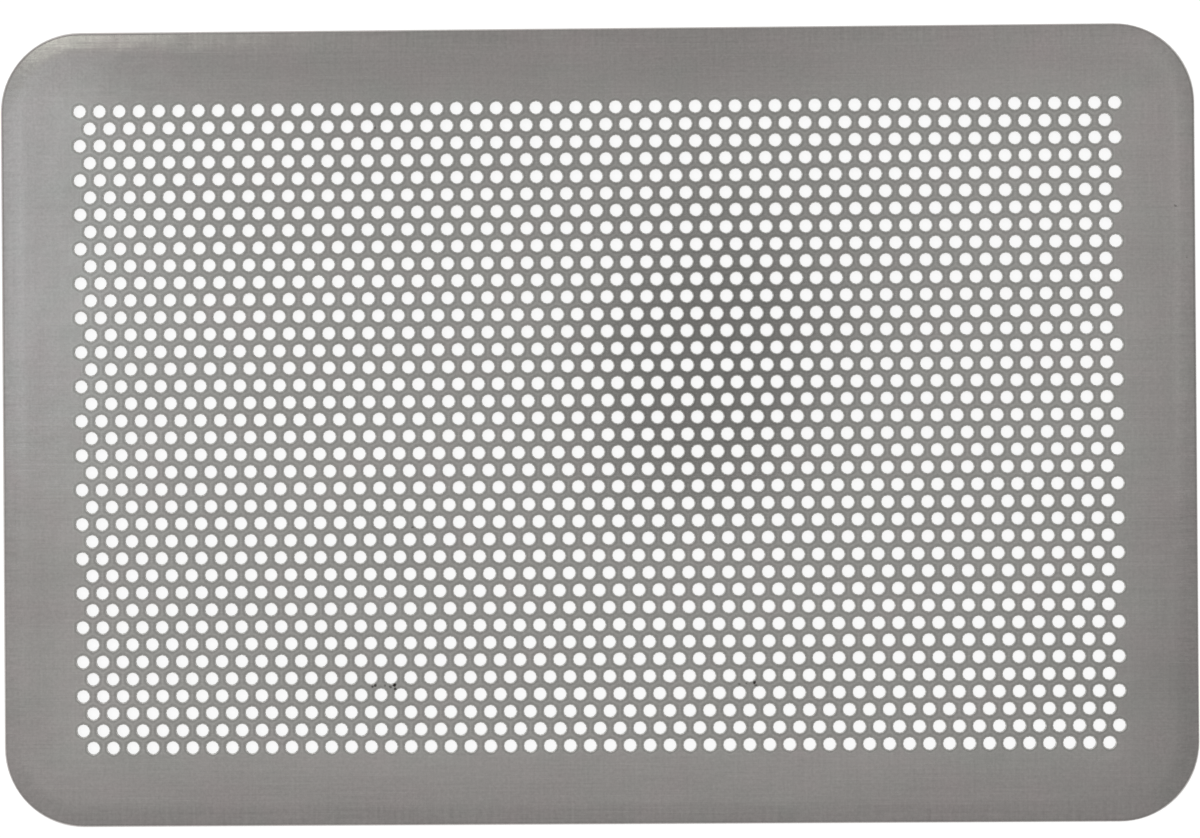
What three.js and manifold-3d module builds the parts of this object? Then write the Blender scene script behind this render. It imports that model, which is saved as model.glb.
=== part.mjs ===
// A flat perforated baking tray, blanked, punched and edge-formed from one aluminium sheet.
// Millimetres, +Z up. The origin is the middle of the tray, on the plane that it rests on.
import * as THREE from "three";
import { mergeGeometries, mergeVertices } from "three/addons/utils/BufferGeometryUtils.js";
import Module from "manifold-3d";

// The blank: its overall size, the sheet's gauge and the round of its corners.
const LENGTH = 300;
const WIDTH = 200;
const THICKNESS = 1.5;
const CORNER_RADIUS = 20;
const CORNER_STEPS = 10;

// The edge: a narrow band all round is turned down, so the tray stands on a flat land at its rim.
const LIP_WIDTH = 5;
const LIP_ANGLE = 7;
const REST_LAND = 1;
const EDGE_ROUND = 0.3;

// The perforation: round holes on a 60-degree triangular pitch, in a field centred on the sheet.
const HOLE_DIAMETER = 3.1;
const HOLE_PITCH = 5;
const PLAIN_BORDER = 18.3;

// The solid is cut with an even share of that pattern, at most MOST_HOLES, each in its true place,
// so that it keeps few faces. Each hole is a prism of HOLE_SIDES with the round hole's open area.
const MOST_HOLES = 510;
const HOLE_SIDES = 5;

// Heights that follow from the edge's slope.
const SLOPE = Math.tan(THREE.MathUtils.degToRad(LIP_ANGLE));
const UNDERSIDE = SLOPE * (LIP_WIDTH - REST_LAND);
const TOP = UNDERSIDE + THICKNESS;
const EDGE_TOP = TOP - SLOPE * LIP_WIDTH;
const EDGE_RADIUS = Math.min(EDGE_ROUND, REST_LAND / 2, EDGE_TOP / 3);

// The pattern's counts and reach. Every second row sits half a pitch over and holds one hole less.
const ROW_PITCH = HOLE_PITCH * Math.sin(Math.PI / 3);
const holesAcross = (span, pitch) =>
  Math.floor((span - 2 * PLAIN_BORDER - HOLE_DIAMETER) / pitch) + 1;
const COLUMNS = holesAcross(LENGTH, HOLE_PITCH);
const ROWS = holesAcross(WIDTH, ROW_PITCH);
const FIELD_LEFT = (-HOLE_PITCH * (COLUMNS - 1)) / 2;
const FIELD_TOP = (ROW_PITCH * (ROWS - 1)) / 2;

// One hole in KEPT_EVERY along a row is cut, in one row of KEPT_EVERY.
const KEPT_EVERY = Math.ceil(Math.sqrt((COLUMNS * ROWS) / MOST_HOLES));

// A polygon of HOLE_SIDES with a circle's area has its corners at this multiple of the radius.
const HOLE_TURN = (2 * Math.PI) / HOLE_SIDES;
const CORNER_REACH = Math.sqrt(HOLE_TURN / Math.sin(HOLE_TURN));

const wasm = await Module();
wasm.setup();

// The tray's outline as a loop of points, anticlockwise, drawn inside its edge by an inset.
// No corner is drawn tighter than the round on the edge itself.
function outline(inset) {
  const radius = Math.max(CORNER_RADIUS - inset, EDGE_RADIUS);
  const x = LENGTH / 2 - inset - radius;
  const y = WIDTH / 2 - inset - radius;
  const quarter = Math.PI / 2;
  return new THREE.Shape()
    .absarc(x, -y, radius, -quarter, 0)
    .absarc(x, y, radius, 0, quarter)
    .absarc(-x, y, radius, quarter, 2 * quarter)
    .absarc(-x, -y, radius, 2 * quarter, 3 * quarter)
    .getPoints(CORNER_STEPS / 2);
}

// The unpunched sheet: the edge's section, carried round the outline and closed by two flat faces.
function blankGeometry() {
  const section = [
    { inset: LIP_WIDTH, z: UNDERSIDE },
    { inset: REST_LAND, z: 0 },
    { inset: EDGE_RADIUS, z: 0 },
    { inset: 0, z: EDGE_RADIUS },
    { inset: 0, z: EDGE_TOP - EDGE_RADIUS },
    { inset: EDGE_RADIUS, z: EDGE_TOP + SLOPE * EDGE_RADIUS },
    { inset: LIP_WIDTH, z: TOP },
  ];
  const loops = section.map(({ inset }) => outline(inset));
  const count = loops[0].length;
  const positions = section.flatMap(({ z }, ring) => loops[ring].flatMap(({ x, y }) => [x, y, z]));
  const triangles = [];
  for (let ring = 0; ring + 1 < section.length; ring += 1) {
    for (let point = 0; point < count; point += 1) {
      const next = (point + 1) % count;
      const [a, b] = [ring * count + point, ring * count + next];
      const [c, d] = [a + count, b + count];
      triangles.push(a, b, d, a, d, c);
    }
  }
  const lastRing = (section.length - 1) * count;
  for (const [a, b, c] of THREE.ShapeUtils.triangulateShape(loops[0], [])) {
    triangles.push(a, c, b, lastRing + a, lastRing + b, lastRing + c);
  }
  return new THREE.BufferGeometry()
    .setAttribute("position", new THREE.Float32BufferAttribute(positions, 3))
    .setIndex(triangles);
}

// Centres of the holes that the solid is cut with, staggered as the full pattern is.
function holeCentres() {
  const middleColumn = Math.floor((COLUMNS - 1) / 2);
  const centres = [];
  for (let row = 0; row < ROWS; row += KEPT_EVERY) {
    const stagger = row % 2;
    const shift = ((row / KEPT_EVERY) % 2) * Math.floor(KEPT_EVERY / 2);
    const first = (middleColumn + shift) % KEPT_EVERY;
    for (let column = first; column < COLUMNS - stagger; column += KEPT_EVERY) {
      const x = FIELD_LEFT + (column + stagger / 2) * HOLE_PITCH;
      centres.push(new THREE.Vector2(x, FIELD_TOP - row * ROW_PITCH));
    }
  }
  return centres;
}

// All the punches at once: a rod for each hole, which stands a sheet's gauge out of both faces.
function punchesGeometry() {
  const radius = (HOLE_DIAMETER / 2) * CORNER_REACH;
  const height = 3 * THICKNESS;
  const rod = new THREE.CylinderGeometry(radius, radius, height, HOLE_SIDES).rotateX(Math.PI / 2);
  const middle = (TOP + UNDERSIDE) / 2;
  return mergeGeometries(holeCentres().map(({ x, y }) => rod.clone().translate(x, y, middle)));
}

function solidOf(geometry) {
  const bare = geometry.clone().deleteAttribute("normal").deleteAttribute("uv");
  const merged = mergeVertices(bare);
  return new wasm.Manifold(
    new wasm.Mesh({
      numProp: 3,
      vertProperties: merged.attributes.position.array,
      triVerts: new Uint32Array(merged.index.array),
    }),
  );
}

function geometryOf(solid) {
  const { vertProperties, triVerts } = solid.getMesh();
  const geometry = new THREE.BufferGeometry()
    .setAttribute("position", new THREE.BufferAttribute(vertProperties, 3))
    .setIndex(new THREE.BufferAttribute(triVerts, 1))
    .toNonIndexed();
  geometry.computeVertexNormals();
  return geometry;
}

const brushedAluminium = new THREE.MeshStandardMaterial({
  color: 0x8e8a87,
  metalness: 1,
  roughness: 0.35,
});

const sheet = new THREE.Mesh(
  geometryOf(solidOf(blankGeometry()).subtract(solidOf(punchesGeometry()))),
  brushedAluminium,
);
sheet.name = "perforated_sheet";

const tray = new THREE.Group();
tray.add(sheet);

export default tray;
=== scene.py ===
# %% [markdown]
# # A perforated baking tray
# The tray is one sheet of aluminium, 300 by 200 mm: blanked with round corners, punched with a
# field of round holes, and turned down a little at its edge. It lies on a white surface and is
# seen from straight above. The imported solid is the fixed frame. It gives the sheet's box, and it
# holds one hole in four. This lesson makes the fine sheet, with every hole, and its finish.

# %% Load the fixed frame
import math

import bmesh
import bpy
from mathutils import Matrix, Vector


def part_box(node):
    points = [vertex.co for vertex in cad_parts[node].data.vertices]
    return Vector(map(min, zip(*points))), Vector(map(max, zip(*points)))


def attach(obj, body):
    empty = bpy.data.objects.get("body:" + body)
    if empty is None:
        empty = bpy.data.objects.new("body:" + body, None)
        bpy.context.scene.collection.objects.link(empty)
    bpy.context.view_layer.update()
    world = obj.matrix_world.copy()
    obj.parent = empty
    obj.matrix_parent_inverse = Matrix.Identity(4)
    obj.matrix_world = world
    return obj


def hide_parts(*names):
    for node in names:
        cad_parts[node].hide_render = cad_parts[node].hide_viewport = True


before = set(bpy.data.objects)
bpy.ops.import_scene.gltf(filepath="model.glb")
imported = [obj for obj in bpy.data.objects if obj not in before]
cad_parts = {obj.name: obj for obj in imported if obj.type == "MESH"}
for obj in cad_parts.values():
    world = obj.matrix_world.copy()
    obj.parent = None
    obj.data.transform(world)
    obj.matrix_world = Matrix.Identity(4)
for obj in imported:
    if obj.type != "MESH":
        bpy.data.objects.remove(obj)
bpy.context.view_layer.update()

# %% [markdown]
# ## Sizes
# Blender works in metres here, so millimetres are written as a number times MM. The length, the
# width and the height come from the frame. The other sizes are those that the sheet was designed
# with: its corners, the turned-down lip, the land that it stands on, and the punched pattern.
# Rows and columns follow from the pitch and from the plain border, as they would for the punch.
# They could be counted and typed in, but then a wider tray would need a new count.

# %% The sheet's sizes
MM = 0.001
lowest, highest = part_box("perforated_sheet")
LENGTH, WIDTH, TOP = highest - lowest
CORNER_RADIUS = 20 * MM
LIP_WIDTH = 5 * MM
LIP_ANGLE = 7
LIP_SLOPE = math.tan(math.radians(LIP_ANGLE))
REST_LAND = 1 * MM
UNDERSIDE = LIP_SLOPE * (LIP_WIDTH - REST_LAND)
print("gauge, mm:", round((TOP - UNDERSIDE) / MM, 3))

# %% The punched pattern
# The lip is where the punch rolled the metal in, and the break-out is where the bore opens below.
HOLE_DIAMETER = 3.1 * MM
HOLE_LIP_WIDTH = 0.3 * MM
HOLE_LIP_DEPTH = 0.2 * MM
HOLE_BREAK_OUT = 0.12 * MM
PITCH = 5 * MM
ROW_PITCH = PITCH * math.sin(math.radians(60))
PLAIN_BORDER = 18.3 * MM
COLUMNS = int((LENGTH - 2 * PLAIN_BORDER - HOLE_DIAMETER) / PITCH) + 1
ROWS = int((WIDTH - 2 * PLAIN_BORDER - HOLE_DIAMETER) / ROW_PITCH) + 1
print("rows:", ROWS, "holes in a long row:", COLUMNS)

# %% [markdown]
# ## The rim
# On the real tray the edge is pressed down after punching, so the plain rim bends over a soft
# line and ends in a smoothed, rounded edge. A bevelled plate would give a hard crease instead.
# Here the section of the rim is drawn once, as pairs of inset and height, and carried round the
# outline ring by ring. The ring of quads stays open at its two inner edges, where the flat faces
# are fitted later, point for point.

# %% Section of the rim, from the baking face round the edge to the underside
RIM_WIDTH = 9 * MM
BEND_REACH = 1.3 * MM
BEND_STEPS = 6
EDGE_ACROSS = 0.8 * MM
UNDER_EDGE_ACROSS = 0.4 * MM
EDGE_DOWN = 0.45 * MM
EDGE_STEPS = 7


def bend(level):
    """Points of the soft line where the lip starts: a face's height falls away as a parabola."""
    points = []
    for step in range(BEND_STEPS + 1):
        run = 2 * BEND_REACH * step / BEND_STEPS
        drop = LIP_SLOPE * run**2 / (4 * BEND_REACH)
        points.append((LIP_WIDTH + BEND_REACH - run, level - drop))
    return points


def rounded_edge(level, towards, across, slope):
    """Points of a quarter round, from a face that may slope to the upright cut edge."""
    points = []
    for step in range(EDGE_STEPS + 1):
        turn = math.pi / 2 * step / EDGE_STEPS
        run = across * math.sin(turn)
        height = level + towards * (EDGE_DOWN * (1 - math.cos(turn)) + slope * run)
        points.append((across - run, height))
    return points


edge_top = TOP - LIP_SLOPE * (LIP_WIDTH - EDGE_ACROSS)
rim_section = [
    (RIM_WIDTH, TOP),
    *bend(TOP),
    *rounded_edge(edge_top, -1, EDGE_ACROSS, LIP_SLOPE),
    *reversed(rounded_edge(0, +1, UNDER_EDGE_ACROSS, 0)),
    (REST_LAND, 0),
    *reversed(bend(UNDERSIDE)),
    (RIM_WIDTH, UNDERSIDE),
]
print("points in the rim's section:", len(rim_section))

# %% Outline of the tray, drawn inside its edge by an inset
CORNER_STEPS = 18
STRAIGHT_STEP = 10 * MM


def outline(inset):
    """The loop of points at an inset, anticlockwise: four round corners and the straights between."""
    radius = CORNER_RADIUS - inset
    centre_x, centre_y = LENGTH / 2 - CORNER_RADIUS, WIDTH / 2 - CORNER_RADIUS
    loop = []
    for quarter, (side_x, side_y) in enumerate(((1, 1), (-1, 1), (-1, -1), (1, -1))):
        centre = Vector((side_x * centre_x, side_y * centre_y))
        for step in range(CORNER_STEPS + 1):
            turn = math.pi / 2 * (quarter + step / CORNER_STEPS)
            loop.append(centre + radius * Vector((math.cos(turn), math.sin(turn))))
        straight = 2 * (centre_x if quarter % 2 == 0 else centre_y)
        pieces = round(straight / STRAIGHT_STEP)
        along = Vector((-math.sin(turn), math.cos(turn))) * straight / pieces
        loop += [loop[-1] + along * step for step in range(1, pieces)]
    return loop


edge_loop = outline(0)
edge_marks = [0.0]
for start, end in zip(edge_loop, edge_loop[1:] + edge_loop[:1]):
    edge_marks.append(edge_marks[-1] + (end - start).length)
print("points round the edge:", len(edge_loop), "length, mm:", round(edge_marks[-1] / MM, 1))

# %% Loft the rim, with a map that runs along the edge and across it
EDGE_MAP = "edge_strip"


def lofted_rim():
    """An open ring of quads: the section, carried round the outline."""
    mesh = bmesh.new()
    strip = mesh.loops.layers.uv.new(EDGE_MAP)
    rings = []
    for inset, height in rim_section:
        rings.append([mesh.verts.new((*point, height)) for point in outline(inset)])
    for ring in range(len(rings) - 1):
        out, next_out = (RIM_WIDTH - rim_section[ring + more][0] for more in (0, 1))
        for place, (mark, next_mark) in enumerate(zip(edge_marks, edge_marks[1:])):
            after = (place + 1) % len(edge_loop)
            inner, outer = rings[ring], rings[ring + 1]
            face = mesh.faces.new((inner[place], outer[place], outer[after], inner[after]))
            face.smooth = True
            corners = ((mark, out), (mark, next_out), (next_mark, next_out), (next_mark, out))
            for loop, spot in zip(face.loops, corners):
                loop[strip].uv = spot
    data = bpy.data.meshes.new("perforated_sheet_fine")
    mesh.to_mesh(data)
    mesh.free()
    return data


sheet = bpy.data.objects.new("perforated_sheet_fine", lofted_rim())
bpy.context.scene.collection.objects.link(sheet)
print("quads in the rim:", len(sheet.data.polygons))

# %% [markdown]
# ## The perforation
# A press punches the field row by row. Each hole has a rolled-over lip where the punch went in,
# and below it a bore that opens a little towards the underside, where the metal broke out. Nearly
# two thousand holes could be cut with booleans, but that is slow and leaves ragged faces. The
# pattern repeats, so Geometry Nodes makes one cell of it: a hexagon of sheet with a hole in its
# middle. Copies of that cell stand on the triangular pitch like a honeycomb and are welded. Then
# one strip of flat face joins the honeycomb to the rim.

# %% One helper that adds a node
def add_node(tree, kind, inputs=None, **settings):
    """Adds a node, sets its settings, and gives its inputs a value, or a link from a node or socket."""
    node = tree.nodes.new(kind)
    for name, value in settings.items():
        setattr(node, name, value)
    for key, value in (inputs or {}).items():
        for one in value if isinstance(value, list) else [value]:
            if isinstance(one, bpy.types.Node):
                one = one.outputs[0]
            if isinstance(one, bpy.types.NodeSocket):
                tree.links.new(one, node.inputs[key])
            else:
                node.inputs[key].default_value = one
    return node


# %% Centres of the holes, on the triangular pitch
def hole_centres(tree, given):
    """One point for each hole. Every second row sits half a pitch over and holds one hole less."""
    index = add_node(tree, "GeometryNodeInputIndex")
    counted = {0: index, 1: given["Columns"]}
    row = add_node(tree, "FunctionNodeIntegerMath", counted, operation="DIVIDE")
    column = add_node(tree, "FunctionNodeIntegerMath", counted, operation="MODULO")
    odd = add_node(tree, "FunctionNodeIntegerMath", {0: row, 1: 2}, operation="MODULO")
    steps = add_node(tree, "ShaderNodeMath", {0: odd, 1: 0.5, 2: column}, operation="MULTIPLY_ADD")
    across = add_node(tree, "ShaderNodeMath", {0: steps, 1: given["Pitch"]}, operation="MULTIPLY")
    down = add_node(tree, "ShaderNodeMath", {0: row, 1: given["Row pitch"]}, operation="MULTIPLY")
    back = add_node(tree, "ShaderNodeMath", {0: down, 1: -1}, operation="MULTIPLY")
    offset = add_node(tree, "ShaderNodeCombineXYZ", {"X": across, "Y": back})
    place = add_node(tree, "ShaderNodeVectorMath", {0: offset, 1: given["First hole"]}, operation="ADD")
    count = add_node(
        tree, "FunctionNodeIntegerMath", {0: given["Rows"], 1: given["Columns"]}, operation="MULTIPLY"
    )
    points = add_node(tree, "GeometryNodePoints", {"Count": count, "Position": place})
    reach = add_node(tree, "FunctionNodeIntegerMath", {0: column, 1: odd}, operation="ADD")
    beyond = add_node(
        tree,
        "FunctionNodeCompare",
        {"A": reach, "B": given["Columns"]},
        data_type="INT",
        operation="GREATER_EQUAL",
    )
    return add_node(
        tree, "GeometryNodeDeleteGeometry", {"Geometry": points, "Selection": beyond}, domain="POINT"
    )


# %% A flat face, filled between loops and lifted to its level
def flat_face(tree, loops, height):
    """Fills the space between closed loops, shaded flat, at a height."""
    filled = add_node(tree, "GeometryNodeFillCurve", {"Curve": loops}, mode="TRIANGLES")
    lift = add_node(tree, "ShaderNodeCombineXYZ", {"Z": height})
    raised = add_node(tree, "GeometryNodeTransform", {"Geometry": filled, "Translation": lift})
    return add_node(
        tree, "GeometryNodeSetShadeSmooth", {"Geometry": raised, "Shade Smooth": False}, domain="FACE"
    )


def pierced_hexagon(tree, given, hole_radius, height):
    """The flat part of a cell: a hexagon, corner up, with a round opening."""
    corner_radius = add_node(
        tree, "ShaderNodeMath", {0: given["Pitch"], 1: math.sqrt(3)}, operation="DIVIDE"
    )
    hexagon = add_node(
        tree, "GeometryNodeCurvePrimitiveCircle", {"Resolution": 6, "Radius": corner_radius}
    )
    upright = add_node(
        tree, "GeometryNodeTransform", {"Geometry": hexagon, "Rotation": (0, 0, math.radians(30))}
    )
    opening = add_node(
        tree, "GeometryNodeCurvePrimitiveCircle", {"Resolution": given["Sides"], "Radius": hole_radius}
    )
    loops = add_node(tree, "GeometryNodeJoinGeometry", {"Geometry": [upright, opening]})
    return flat_face(tree, loops, height)


# %% The sleeve of a hole: its rolled lip and its bore
def hole_sleeve(tree, given, wide_radius, lip_level, foot_radius):
    """A short cone over a taller, steeper one, both open, with their faces turned to the axis."""
    walls = []
    for top_radius, low_radius, top, foot in (
        (wide_radius, given["Hole radius"], given["Top"], lip_level),
        (given["Hole radius"], foot_radius, lip_level, given["Underside"]),
    ):
        depth = add_node(tree, "ShaderNodeMath", {0: top, 1: foot}, operation="SUBTRACT")
        wall = add_node(
            tree,
            "GeometryNodeMeshCone",
            {
                "Vertices": given["Sides"],
                "Radius Top": top_radius,
                "Radius Bottom": low_radius,
                "Depth": depth,
            },
            fill_type="NONE",
        )
        lift = add_node(tree, "ShaderNodeCombineXYZ", {"Z": foot})
        walls.append(add_node(tree, "GeometryNodeTransform", {"Geometry": wall, "Translation": lift}))
    both = add_node(tree, "GeometryNodeJoinGeometry", {"Geometry": walls})
    turned = add_node(tree, "GeometryNodeFlipFaces", {"Mesh": both})
    return add_node(
        tree, "GeometryNodeSetShadeSmooth", {"Geometry": turned, "Shade Smooth": True}, domain="FACE"
    )


# %% One cell, which also keeps a level at every point that places the painted shade and highlight round its hole
# The level is 2 at the foot of a hole's lip, 1 at the lip's rim and at the foot of the bore, and
# the level set for the cell edge at the cell's outline. The plain rim of the sheet has none.
# This attribute places the perforated field, and the painted shade and highlight round each hole.
HOLE_SHADING_NAME = "hole_wear"
CELL_EDGE_SHADING = 0.4


def hole_cell(tree, given):
    """Two pierced hexagons and the sleeve between them, with the level for the painted shade and
    highlight kept at every point.
    """
    wide_radius = add_node(
        tree, "ShaderNodeMath", {0: given["Hole radius"], 1: given["Lip width"]}, operation="ADD"
    )
    lip_level = add_node(
        tree, "ShaderNodeMath", {0: given["Top"], 1: given["Lip depth"]}, operation="SUBTRACT"
    )
    foot_radius = add_node(
        tree, "ShaderNodeMath", {0: given["Hole radius"], 1: given["Break-out"]}, operation="ADD"
    )
    face = pierced_hexagon(tree, given, wide_radius, given["Top"])
    under = pierced_hexagon(tree, given, foot_radius, given["Underside"])
    turned_under = add_node(tree, "GeometryNodeFlipFaces", {"Mesh": under})
    sleeve = hole_sleeve(tree, given, wide_radius, lip_level, foot_radius)
    cell = add_node(tree, "GeometryNodeJoinGeometry", {"Geometry": [face, turned_under, sleeve]})
    position = add_node(tree, "GeometryNodeInputPosition")
    flat = add_node(tree, "ShaderNodeVectorMath", {0: position, 1: (1, 1, 0)}, operation="MULTIPLY")
    distance = add_node(tree, "ShaderNodeVectorMath", {0: flat}, operation="LENGTH").outputs["Value"]
    half_pitch = add_node(tree, "ShaderNodeMath", {0: given["Pitch"], 1: 2}, operation="DIVIDE")
    at_hole = add_node(
        tree, "FunctionNodeCompare", {"A": distance, "B": half_pitch}, operation="LESS_THAN"
    )
    ring_shading = add_node(tree, "ShaderNodeMath", {0: at_hole, 1: CELL_EDGE_SHADING}, operation="MAXIMUM")
    height = add_node(tree, "ShaderNodeSeparateXYZ", {0: position}).outputs["Z"]
    at_lip_foot = add_node(
        tree,
        "FunctionNodeCompare",
        {"A": height, "B": lip_level, "Epsilon": given["Weld"]},
        operation="EQUAL",
    )
    # The level places painted shade on the ring and in the bore, and a painted highlight on the lip.
    shading_level = add_node(tree, "ShaderNodeMath", {0: ring_shading, 1: at_lip_foot}, operation="ADD")
    return add_node(
        tree,
        "GeometryNodeStoreNamedAttribute",
        {"Geometry": cell, "Name": HOLE_SHADING_NAME, "Value": shading_level},
        data_type="FLOAT",
        domain="POINT",
    )


# %% The open edges of the honeycomb and the rim, above or below mid-height
def open_loops(tree, given, mesh, operation):
    """The open edges on one side of mid-height, as closed curves."""
    faces = add_node(tree, "GeometryNodeInputMeshEdgeNeighbors")
    is_open = add_node(
        tree, "FunctionNodeCompare", {"A": faces, "B": 1}, data_type="INT", operation="EQUAL"
    )
    both_levels = add_node(
        tree, "ShaderNodeMath", {0: given["Top"], 1: given["Underside"]}, operation="ADD"
    )
    middle = add_node(tree, "ShaderNodeMath", {0: both_levels, 1: 2}, operation="DIVIDE")
    position = add_node(tree, "GeometryNodeInputPosition")
    height = add_node(tree, "ShaderNodeSeparateXYZ", {0: position}).outputs["Z"]
    on_side = add_node(tree, "FunctionNodeCompare", {"A": height, "B": middle}, operation=operation)
    chosen = add_node(tree, "FunctionNodeBooleanMath", {0: is_open, 1: on_side}, operation="AND")
    return add_node(tree, "GeometryNodeMeshToCurve", {"Mesh": mesh, "Selection": chosen})


# %% The whole tree
SHEET_INPUTS = {
    "Rim": "NodeSocketGeometry",
    "Rows": "NodeSocketInt",
    "Columns": "NodeSocketInt",
    "Pitch": "NodeSocketFloat",
    "Row pitch": "NodeSocketFloat",
    "First hole": "NodeSocketVector",
    "Hole radius": "NodeSocketFloat",
    "Sides": "NodeSocketInt",
    "Lip width": "NodeSocketFloat",
    "Lip depth": "NodeSocketFloat",
    "Break-out": "NodeSocketFloat",
    "Top": "NodeSocketFloat",
    "Underside": "NodeSocketFloat",
    "Weld": "NodeSocketFloat",
    "Finish": "NodeSocketMaterial",
}


def perforation_tree():
    """Sets a cell on every centre, welds the cells, and joins them to the rim above and below."""
    tree = bpy.data.node_groups.new("perforation", "GeometryNodeTree")
    for name, kind in SHEET_INPUTS.items():
        tree.interface.new_socket(name, in_out="INPUT", socket_type=kind)
    tree.interface.new_socket("Sheet", in_out="OUTPUT", socket_type="NodeSocketGeometry")
    given = add_node(tree, "NodeGroupInput").outputs
    cells = add_node(
        tree,
        "GeometryNodeInstanceOnPoints",
        {"Points": hole_centres(tree, given), "Instance": hole_cell(tree, given)},
    )
    drawn = add_node(tree, "GeometryNodeRealizeInstances", {"Geometry": cells})
    honeycomb = add_node(
        tree, "GeometryNodeMergeByDistance", {"Geometry": drawn, "Distance": given["Weld"]}
    )
    parts = add_node(tree, "GeometryNodeJoinGeometry", {"Geometry": [honeycomb, given["Rim"]]})
    border = flat_face(tree, open_loops(tree, given, parts, "GREATER_THAN"), given["Top"])
    under_border = flat_face(tree, open_loops(tree, given, parts, "LESS_THAN"), given["Underside"])
    turned_under = add_node(tree, "GeometryNodeFlipFaces", {"Mesh": under_border})
    joined = add_node(tree, "GeometryNodeJoinGeometry", {"Geometry": [turned_under, border, parts]})
    welded = add_node(
        tree, "GeometryNodeMergeByDistance", {"Geometry": joined, "Distance": given["Weld"]}
    )
    realized = add_node(tree, "GeometryNodeRealizeInstances", {"Geometry": welded})
    finished = add_node(
        tree, "GeometryNodeSetMaterial", {"Geometry": realized, "Material": given["Finish"]}
    )
    add_node(tree, "NodeGroupOutput", {"Sheet": finished})
    return tree


perforation = perforation_tree()
print("nodes in the perforation:", len(perforation.nodes))

# %% [markdown]
# ## The finish
# Bakeware like this is soft aluminium sheet, left bright as it comes from the rolling mill. The
# rolls leave fine lines along the sheet. Wiping and washing lay fainter ones across it, and oven
# heat tarnishes it in faint warm and greenish clouds. One grey with one roughness would look like
# plastic, so each of these marks is its own noise, sized in millimetres, and they all pull a
# little at the same metal. Round each hole the metal is rougher in a ring that also holds painted
# shade, the lip has a painted highlight and the bore painted shade. The cut edge is brightened,
# partly as rubbed metal and partly as a painted highlight, and a few crumbs have burnt on.

# %% Colours
WARM_GREY = "#8f8988"
GREENISH_GREY = "#8a8986"
BURNT_BROWN = "#302b28"


def linear(hex_colour):
    """An sRGB hex colour as linear red, green and blue, with alpha."""
    levels = [int(hex_colour[place : place + 2], 16) / 255 for place in (1, 3, 5)]
    lit = [level / 12.92 if level <= 0.04045 else ((level + 0.055) / 1.055) ** 2.4 for level in levels]
    return (*lit, 1.0)


print("the metal's warm grey, linear:", [round(level, 3) for level in linear(WARM_GREY)])

# %% Patterns that cover the whole sheet
# Sizes are in millimetres along x, y and z. Real rolling and wiping lines are a tenth as wide,
# which is too fine to show, so they are drawn as coarse as they need to be.
PATTERN_SIZES = {
    "rolling_lines": (24, 0.5, 0.5),
    "wiping_lines": (0.6, 18, 0.6),
    "clouds": (38, 24, 24),
    "tarnish": (15, 12, 12),
    "grit": (0.8, 0.8, 0.8),
}
PATTERN_SHIFT = (17.3, 5.1, 2.9)
PATTERN_DETAIL = 3.0
PATTERN_RAGGEDNESS = 0.6


def surface_patterns(tree, place):
    """One noise for each pattern, stretched to its size and moved so that no two are alike."""
    patterns = {}
    for number, (name, size) in enumerate(PATTERN_SIZES.items()):
        scale = tuple(1 / (side * MM) for side in size)
        shift = tuple(step * number for step in PATTERN_SHIFT)
        spread = add_node(
            tree, "ShaderNodeMapping", {"Vector": place, "Location": shift, "Scale": scale}
        )
        noise = add_node(
            tree,
            "ShaderNodeTexNoise",
            {
                "Vector": spread,
                "Scale": 1.0,
                "Detail": PATTERN_DETAIL,
                "Roughness": PATTERN_RAGGEDNESS,
            },
        )
        patterns[name] = noise.outputs
    return patterns


# %% Marks on the turned-down lip, and the painted highlight on its cut edge
# The edge's brightness, partly rubbed metal and partly a painted highlight, starts and is full at
# these shares of its round, measured from outside.
PRESS_MARK_SPACING = 1.1 * MM
PRESS_MARK_DETAIL = 2.0
EDGE_HIGHLIGHT_AND_WEAR = (0.6, 0.1)


def edge_ways(tree):
    """How far along the edge a point of the rim lies, and how far out from the rim's inner line."""
    strip = add_node(tree, "ShaderNodeUVMap", uv_map=EDGE_MAP)
    ways = add_node(tree, "ShaderNodeSeparateXYZ", {0: strip}).outputs
    return ways["X"], ways["Y"]


def press_marks(tree):
    """Short streaks across the lip, where the die dragged on the metal, centred on zero."""
    along, out = edge_ways(tree)
    steps = add_node(tree, "ShaderNodeMath", {0: along, 1: PRESS_MARK_SPACING}, operation="DIVIDE")
    streaks = add_node(
        tree,
        "ShaderNodeTexNoise",
        {"W": steps, "Scale": 1.0, "Detail": PRESS_MARK_DETAIL},
        noise_dimensions="1D",
    )
    centred = add_node(
        tree, "ShaderNodeMath", {0: streaks.outputs["Fac"], 1: 0.5}, operation="SUBTRACT"
    )
    bend_line = RIM_WIDTH - LIP_WIDTH
    on_lip = add_node(
        tree,
        "ShaderNodeMapRange",
        {"Value": out, "From Min": bend_line - BEND_REACH, "From Max": bend_line + BEND_REACH},
        interpolation_type="SMOOTHSTEP",
    )
    return add_node(tree, "ShaderNodeMath", {0: centred, 1: on_lip}, operation="MULTIPLY")


def edge_highlight_and_wear(tree):
    """Rises from 0 to 1 over the outer half of the rounded edge, brightened there partly as rubbed
    metal and partly as a painted highlight.
    """
    out = edge_ways(tree)[1]
    start, full = (RIM_WIDTH - share * EDGE_ACROSS for share in EDGE_HIGHLIGHT_AND_WEAR)
    return add_node(tree, "ShaderNodeMapRange", {"Value": out, "From Min": start, "From Max": full})


# %% Painted shade and highlight round the holes
# They follow the level that each cell keeps. The ring's painted shade is darkest from FULL_RING on,
# and the lip's painted highlight is brightest from FULL_LIP on. The bore's painted shade starts
# under the lip's foot, within BORE_BLUR.
FULL_RING = 0.9
FULL_LIP = 1.8
BORE_BLUR = 0.05 * MM


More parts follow.
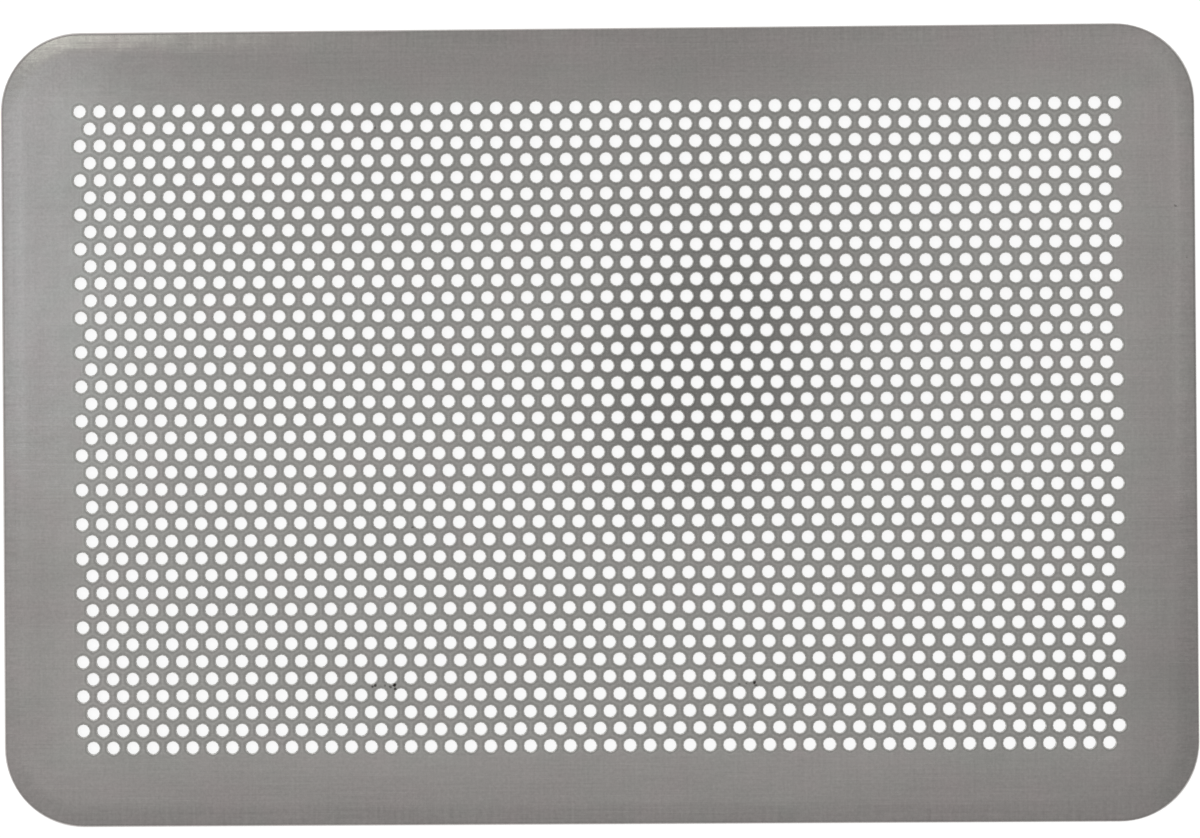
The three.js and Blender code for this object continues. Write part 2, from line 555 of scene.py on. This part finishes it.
def hole_marks(tree, place):
    """Where the perforated field is, the rougher rings with painted shade, the lips with a painted
    highlight and the bores with painted shade.
    """
    shading = add_node(tree, "ShaderNodeAttribute", attribute_name=HOLE_SHADING_NAME).outputs["Fac"]
    field = add_node(tree, "ShaderNodeMapRange", {"Value": shading, "From Max": CELL_EDGE_SHADING})
    ring = add_node(
        tree,
        "ShaderNodeMapRange",
        {"Value": shading, "From Min": CELL_EDGE_SHADING, "From Max": FULL_RING},
        interpolation_type="SMOOTHSTEP",
    )
    inside = add_node(
        tree, "ShaderNodeMapRange", {"Value": shading, "From Min": 1.0, "From Max": FULL_LIP}
    )
    height = add_node(tree, "ShaderNodeSeparateXYZ", {0: place}).outputs["Z"]
    lip_foot = TOP - HOLE_LIP_DEPTH
    above_bore = add_node(
        tree,
        "ShaderNodeMapRange",
        {"Value": height, "From Min": lip_foot - BORE_BLUR, "From Max": lip_foot},
    )
    lip = add_node(tree, "ShaderNodeMath", {0: inside, 1: above_bore}, operation="MULTIPLY")
    bore = add_node(tree, "ShaderNodeMath", {0: inside, 1: lip}, operation="SUBTRACT")
    return {"field": field, "ring": ring, "lip": lip, "bore": bore}


# %% Crumbs that have burnt on: x, y and radius in millimetres, and how dark each one is
# A crumb is darkest within CRUMB_CORE of its radius, and the grit pulls its outline about.
CRUMBS = (
    (-57.1, -65.1, 0.5, 0.7),
    (-56.4, -64.7, 0.5, 0.8),
    (-53.9, -64.8, 0.4, 0.4),
    (-52.6, -65.2, 0.5, 0.6),
    (-51.5, -64.6, 0.6, 1.0),
    (-51.4, -65.6, 0.5, 0.8),
    (34.9, -65.0, 0.4, 0.4),
    (36.9, -64.8, 0.4, 0.4),
    (38.8, -64.6, 0.6, 0.9),
    (39.1, -65.3, 0.4, 0.6),
    (-46.8, -25.1, 0.4, 0.5),
    (-55.4, 75.4, 0.4, 0.5),
    (145.0, 54.1, 0.5, 0.4),
    (147.7, 41.1, 0.5, 0.3),
)
CRUMB_RAGGEDNESS = 0.9 * MM
CRUMB_CORE = 0.4


def burnt_crumbs(tree, place, grit):
    """How burnt the sheet is at a point: 1 on a crumb, 0 on clean metal."""
    pull = add_node(tree, "ShaderNodeVectorMath", {0: grit, 1: (0.5, 0.5, 0.5)}, operation="SUBTRACT")
    ragged = add_node(
        tree,
        "ShaderNodeVectorMath",
        {0: pull, 1: (CRUMB_RAGGEDNESS,) * 3, 2: place},
        operation="MULTIPLY_ADD",
    )
    burnt = 0.0
    for x, y, radius, darkness in CRUMBS:
        centre = (x * MM, y * MM, TOP)
        away = add_node(tree, "ShaderNodeVectorMath", {0: ragged, 1: centre}, operation="DISTANCE")
        spot = add_node(
            tree,
            "ShaderNodeMapRange",
            {
                "Value": away.outputs["Value"],
                "From Min": radius * MM,
                "From Max": CRUMB_CORE * radius * MM,
                "To Max": darkness,
            },
            interpolation_type="SMOOTHSTEP",
        )
        burnt = add_node(tree, "ShaderNodeMath", {0: spot, 1: burnt}, operation="MAXIMUM")
    return burnt


# %% Tone and hue of the metal
# A strength is the share of brightness that a pattern or a mark adds to the metal or takes away.
# A Mix node takes its two colours at inputs 6 and 7 and gives the mixture at output 2, because the
# sockets for numbers and vectors come first.
PATTERN_STRENGTHS = {"rolling_lines": 0.24, "wiping_lines": 0.14, "clouds": 0.18, "grit": 0.36}
# The ring and the bore take brightness away as painted shade. The lip adds it as a painted highlight,
# and the edge adds it partly as rubbed metal and partly as a painted highlight.
MARK_STRENGTHS = {
    "press": 0.14,
    "edge": 0.9,
    "field": 0.175,
    "ring": -0.22,
    "lip": 2.1,
    "bore": -0.5,
}
TARNISH_RANGE = (0.2, 0.8)
FIELD_GREENING = 0.5


def metal_colour(tree, patterns, marks):
    """Warm and greenish grey in patches, brightened or dulled by every pattern and mark, among them the
    painted shade and highlights at the holes and the edge.
    """
    # Noise is a half on average, so half of each pattern's strength is taken off first.
    tone = 1 - sum(PATTERN_STRENGTHS.values()) / 2
    pulls = [(patterns[name]["Fac"], strength) for name, strength in PATTERN_STRENGTHS.items()]
    pulls += [(marks[name], strength) for name, strength in MARK_STRENGTHS.items()]
    for pull, strength in pulls:
        parts = {0: pull, 1: strength, 2: tone}
        tone = add_node(tree, "ShaderNodeMath", parts, operation="MULTIPLY_ADD")
    least, most = TARNISH_RANGE
    hue = add_node(
        tree,
        "ShaderNodeMapRange",
        {"Value": patterns["tarnish"]["Fac"], "From Min": least, "From Max": most},
    )
    greened = add_node(
        tree, "ShaderNodeMath", {0: marks["field"], 1: FIELD_GREENING, 2: hue}, operation="MULTIPLY_ADD"
    )
    tarnished = add_node(
        tree,
        "ShaderNodeMix",
        {0: greened, 6: linear(WARM_GREY), 7: linear(GREENISH_GREY)},
        data_type="RGBA",
    )
    return add_node(
        tree, "ShaderNodeVectorMath", {0: tarnished.outputs[2], "Scale": tone}, operation="SCALE"
    )


# %% Relief of the metal
LINE_DEPTH = 0.02 * MM
BUCKLE_DEPTH = 0.4 * MM


def metal_relief(tree, patterns):
    """Fine rolling lines, on the slow buckles that thin sheet always has."""
    buckled = add_node(
        tree,
        "ShaderNodeBump",
        {"Height": patterns["clouds"]["Fac"], "Strength": 1.0, "Distance": BUCKLE_DEPTH},
    )
    return add_node(
        tree,
        "ShaderNodeBump",
        {
            "Height": patterns["rolling_lines"]["Fac"],
            "Strength": 1.0,
            "Distance": LINE_DEPTH,
            "Normal": buckled,
        },
    )


# %% Rolled aluminium
# Aluminium is a neutral grey metal, a little warm here from tarnish. Its rolled surface blurs
# what it mirrors, so the eye sees soft gradients of the room and no sharp highlight.
ROUGHNESS = (0.22, 0.3)
RING_ROUGHNESS = 0.04
BURNT_ROUGHNESS = 0.4


def rolled_aluminium():
    """The sheet's finish: the metal with its marks, its painted shade and highlights, and its relief,
    and the crumbs burnt on over it.
    """
    material = bpy.data.materials.new("rolled_aluminium")
    material.use_nodes = True
    tree = material.node_tree
    tree.nodes.clear()
    place = add_node(tree, "ShaderNodeTexCoord").outputs["Object"]
    patterns = surface_patterns(tree, place)
    # The edge mark and the hole marks paint highlight and shade into the metal's colour.
    marks = {"press": press_marks(tree), "edge": edge_highlight_and_wear(tree), **hole_marks(tree, place)}
    burnt = burnt_crumbs(tree, place, patterns["grit"]["Color"])
    colour = add_node(
        tree,
        "ShaderNodeMix",
        {0: burnt, 6: metal_colour(tree, patterns, marks), 7: linear(BURNT_BROWN)},
        data_type="RGBA",
    )
    smoothest, roughest = ROUGHNESS
    rough = add_node(
        tree,
        "ShaderNodeMapRange",
        {"Value": patterns["rolling_lines"]["Fac"], "To Min": smoothest, "To Max": roughest},
    )
    for mark, more in ((marks["ring"], RING_ROUGHNESS), (burnt, BURNT_ROUGHNESS)):
        rough = add_node(tree, "ShaderNodeMath", {0: mark, 1: more, 2: rough}, operation="MULTIPLY_ADD")
    shader = add_node(
        tree,
        "ShaderNodeBsdfPrincipled",
        {
            "Base Color": colour.outputs[2],
            "Metallic": 1.0,
            "Roughness": rough,
            "Normal": metal_relief(tree, patterns),
        },
    )
    add_node(tree, "ShaderNodeOutputMaterial", {"Surface": shader})
    return material


finish = rolled_aluminium()
print("nodes in the finish:", len(finish.node_tree.nodes))

# %% [markdown]
# ## Making the sheet
# The tree gets its sizes through the modifier, by each socket's identifier, before it is first
# evaluated. A hole is drawn with twelve sides, so its corners stand a little outside the true
# circle and the opening keeps the circle's area. The result is turned into a plain mesh, because
# an exported model can't carry the tree, and it is counted and tested for gaps.

# %% Make the sheet
SIDES = 12
WELD = 0.002 * MM
area_of_sides = SIDES / 2 * math.sin(math.tau / SIDES)
field_sizes = {
    "Rows": ROWS,
    "Columns": COLUMNS,
    "Pitch": PITCH,
    "Row pitch": ROW_PITCH,
    "First hole": (-PITCH * (COLUMNS - 1) / 2, ROW_PITCH * (ROWS - 1) / 2, 0),
    "Hole radius": HOLE_DIAMETER / 2 * math.sqrt(math.pi / area_of_sides),
    "Sides": SIDES,
    "Lip width": HOLE_LIP_WIDTH,
    "Lip depth": HOLE_LIP_DEPTH,
    "Break-out": HOLE_BREAK_OUT,
    "Top": TOP,
    "Underside": UNDERSIDE,
    "Weld": WELD,
    "Finish": finish,
}
modifier = sheet.modifiers.new("perforation", "NODES")
modifier.node_group = perforation
for socket in perforation.interface.items_tree:
    if socket.name in field_sizes:
        modifier[socket.identifier] = field_sizes[socket.name]
evaluated = sheet.evaluated_get(bpy.context.evaluated_depsgraph_get())
whole = bpy.data.meshes.new_from_object(evaluated)
sheet.modifiers.clear()
sheet.data = whole
print("triangles:", sum(len(face.vertices) - 2 for face in whole.polygons))

# %% Test the sheet, and hang it on the frame
test = bmesh.new()
test.from_mesh(whole)
print("edges that aren't closed:", sum(1 for edge in test.edges if not edge.is_manifold))
print("volume, cm3:", round(test.calc_volume(signed=True) * 1e6, 2))
test.free()
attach(sheet, "root")
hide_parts("perforated_sheet")

# %% [markdown]
# ## The white surface
# The tray lies on a plain white surface that shows through every hole. A white floor lit to white
# would need more light than the metal can take. So its material glows, almost to white, where the
# camera or the metal looks at it, and scatters light as a mid grey. The glow stops short of white,
# so the tray's soft shadow still shows.

# %% The floor
FLOOR_SIZE = 20.0
FLOOR_GLOW = 0.84
FLOOR_GREY = "#8a8a8a"


def white_floor():
    """White to the camera and in reflections, mid grey to the light that it scatters."""
    material = bpy.data.materials.new("white_floor")
    material.use_nodes = True
    tree = material.node_tree
    tree.nodes.clear()
    path = add_node(tree, "ShaderNodeLightPath").outputs
    seen = path["Is Camera Ray"]
    for kind in ("Is Glossy Ray", "Is Transmission Ray"):
        seen = add_node(tree, "ShaderNodeMath", {0: seen, 1: path[kind]}, operation="MAXIMUM")
    glow = add_node(tree, "ShaderNodeEmission", {"Color": linear("#ffffff"), "Strength": FLOOR_GLOW})
    matt = add_node(tree, "ShaderNodeBsdfDiffuse", {"Color": linear(FLOOR_GREY)})
    both = add_node(tree, "ShaderNodeAddShader", {0: glow, 1: matt})
    mixed = add_node(tree, "ShaderNodeMixShader", {0: seen, 1: matt, 2: both})
    add_node(tree, "ShaderNodeOutputMaterial", {"Surface": mixed})
    return material


def stage_object(name, mesh, material):
    """Turns a bmesh into an object that belongs to the stage."""
    data = bpy.data.meshes.new(name)
    mesh.to_mesh(data)
    mesh.free()
    data.materials.append(material)
    piece = bpy.data.objects.new(name, data)
    bpy.context.scene.collection.objects.link(piece)
    return piece


floor_mesh = bmesh.new()
bmesh.ops.create_grid(floor_mesh, x_segments=1, y_segments=1, size=FLOOR_SIZE / 2)
stage_object("floor", floor_mesh, white_floor())
print("floor, m:", FLOOR_SIZE)

# %% [markdown]
# ## The light
# Bare metal shows the room more than itself, so the room is built with care. A picture of a real
# room could light it, but lights that are built one by one can each be fitted to what the metal
# mirrors. A soft dome lights the tray from all round. It is brightest to the upper left of
# straight above and falls away to every side. Low round the horizon stand five broad panels of
# light, which brighten the cut edges and the lips of the holes. Four softboxes, hung low enough
# to be mirrored in one stretch of the rim each, lift the left side, the upper left lip and the
# right side. Three pieces of dark gauze over the tray, hidden from the camera, are mirrored as the
# soft dark patch in the field, the dim stretch of rim above it and the dim lower right corner.

# %% The dome
# PANEL_RANGE says how level a direction is where the panels' light starts and where it is full: 0
# is straight up and 1 is the horizon. One panel stands to the left, and the others at even turns.
DOME_MIDDLE = (-0.2, 0.15, 0)
DOME_MIDDLE_STRENGTH = 1.165
DOME_FALL = 0.57
PANELS = 5
PANEL_STRENGTH = 0.75
PANEL_RANGE = (0.8, 0.97)
PANEL_PHASE = math.pi


def soft_dome():
    """A world that dims evenly away from its bright middle, with panels of light low all round."""
    world = bpy.data.worlds.new("soft_dome")
    world.use_nodes = True
    tree = world.node_tree
    tree.nodes.clear()
    direction = add_node(tree, "ShaderNodeTexCoord").outputs["Generated"]
    flat = add_node(tree, "ShaderNodeVectorMath", {0: direction, 1: (1, 1, 0)}, operation="MULTIPLY")
    away = add_node(tree, "ShaderNodeVectorMath", {0: flat, 1: DOME_MIDDLE}, operation="DISTANCE")
    strength = add_node(
        tree,
        "ShaderNodeMath",
        {0: away.outputs["Value"], 1: -DOME_FALL, 2: DOME_MIDDLE_STRENGTH},
        operation="MULTIPLY_ADD",
    )
    lean = add_node(tree, "ShaderNodeVectorMath", {0: flat}, operation="LENGTH").outputs["Value"]
    start, full = PANEL_RANGE
    low = add_node(
        tree,
        "ShaderNodeMapRange",
        {"Value": lean, "From Min": start, "From Max": full, "To Max": PANEL_STRENGTH},
        interpolation_type="SMOOTHSTEP",
    )
    ways = add_node(tree, "ShaderNodeSeparateXYZ", {0: direction}).outputs
    turn = add_node(tree, "ShaderNodeMath", {0: ways["Y"], 1: ways["X"]}, operation="ARCTAN2")
    phase = add_node(
        tree, "ShaderNodeMath", {0: turn, 1: PANELS, 2: PANEL_PHASE}, operation="MULTIPLY_ADD"
    )
    swing = add_node(tree, "ShaderNodeMath", {0: phase}, operation="COSINE")
    share = add_node(tree, "ShaderNodeMath", {0: swing, 1: 0.5, 2: 0.5}, operation="MULTIPLY_ADD")
    whole = add_node(tree, "ShaderNodeMath", {0: share, 1: low, 2: strength}, operation="MULTIPLY_ADD")
    sky = add_node(tree, "ShaderNodeBackground", {"Color": linear("#ffffff"), "Strength": whole})
    add_node(tree, "ShaderNodeOutputWorld", {"Surface": sky})
    return world


bpy.context.scene.world = soft_dome()
print("dome straight above:", round(DOME_MIDDLE_STRENGTH - DOME_FALL * Vector(DOME_MIDDLE).length, 3))

# %% The softboxes: middle and size in metres, brightness and colour
# A softbox is as bright as its power over four times its area.
SOFTBOXES = {
    "left_softbox": ((-0.228, 0.065, 0.25), (0.118, 0.134), 0.57, "#e6f4fc"),
    "lower_left_softbox": ((-0.325, -0.062, 0.5), (0.25, 0.115), 0.14, "#ffffff"),
    "corner_softbox": ((-0.285, 0.333, 0.5), (0.19, 0.1), 2.2, "#f7fff3"),
    "right_softbox": ((0.298, 0.13, 0.5), (0.125, 0.32), 0.25, "#ffffff"),
}
for name, (middle, size, brightness, colour) in SOFTBOXES.items():
    lamp = bpy.data.lights.new(name, "AREA")
    lamp.shape = "RECTANGLE"
    lamp.size, lamp.size_y = size
    lamp.energy = 4 * size[0] * size[1] * brightness
    lamp.color = linear(colour)[:3]
    softbox = bpy.data.objects.new(name, lamp)
    softbox.location = middle
    softbox.visible_camera = False
    bpy.context.scene.collection.objects.link(softbox)
    print(name, "W:", round(lamp.energy, 3))

# %% The gauze: middle and size in millimetres, turn in degrees, and the share of light it covers
GAUZES = {
    "gauze_patch": ((27.3, 20, 120), (83, 67), 62, 0.48),
    "gauze_strip": ((-35, 195, 220), (230, 262), 0, 0.14),
    "gauze_corner": ((205, -85, 220), (110, 120), 0, 0.14),
}
ROUND_GAUZES = ("gauze_patch",)
ROUND_SIDES = 48
BLACK_THREAD = "#141414"


def black_gauze(name, cover):
    """Matt black threads that cover a share of the light behind them."""
    material = bpy.data.materials.new(name)
    material.use_nodes = True
    tree = material.node_tree
    tree.nodes.clear()
    clear = add_node(tree, "ShaderNodeBsdfTransparent")
    threads = add_node(tree, "ShaderNodeBsdfDiffuse", {"Color": linear(BLACK_THREAD)})
    mixed = add_node(tree, "ShaderNodeMixShader", {0: cover, 1: clear, 2: threads})
    add_node(tree, "ShaderNodeOutputMaterial", {"Surface": mixed})
    return material


for name, (middle, size, turn, cover) in GAUZES.items():
    # Each piece is drawn one metre wide, and then stretched to its size.
    piece = bmesh.new()
    if name in ROUND_GAUZES:
        bmesh.ops.create_circle(piece, cap_ends=True, segments=ROUND_SIDES, radius=0.5)
    else:
        bmesh.ops.create_grid(piece, x_segments=1, y_segments=1, size=0.5)
    place = Vector(middle) * MM
    turned = Matrix.Rotation(math.radians(turn), 3, "Z")
    stretch = Vector((size[0] * MM, size[1] * MM, 1))
    bmesh.ops.transform(piece, matrix=Matrix.LocRotScale(place, turned, stretch), verts=piece.verts)
    gauze = stage_object(name, piece, black_gauze(name, cover))
    gauze.visible_camera = False
    gauze.visible_diffuse = False
    gauze.visible_shadow = False
    print(name, "mm:", size)

# %% [markdown]
# ## The camera
# The photograph looks straight down from about a metre, with a long lens and hardly any tilt. The
# place and the aim were worked out from where the holes fall in the picture: they are so many
# that the eye's offset, its height and the small roll all follow from them.

# %% The camera, with its lens and sensor in millimetres
LENS = 120
SENSOR = 36
EYE = Vector((21.73 * MM, -3.46 * MM, TOP + 1003.56 * MM))
AIM = Vector((0.542 * MM, 1.759 * MM, TOP))
ROLL = math.radians(0.4185)

camera_data = bpy.data.cameras.new("camera")
camera_data.sensor_width = SENSOR
camera_data.lens = LENS
camera = bpy.data.objects.new("camera", camera_data)
bpy.context.scene.collection.objects.link(camera)
forward = (AIM - EYE).normalized()
right = forward.cross(Vector((math.sin(ROLL), math.cos(ROLL), 0))).normalized()
turn = Matrix((right, right.cross(forward), -forward)).transposed()
camera.matrix_world = Matrix.Translation(EYE) @ turn.to_4x4()
bpy.context.scene.camera = camera
bpy.context.scene.view_settings.view_transform = "Standard"
print("camera above the tray, mm:", round((EYE.z - TOP) / MM, 1))
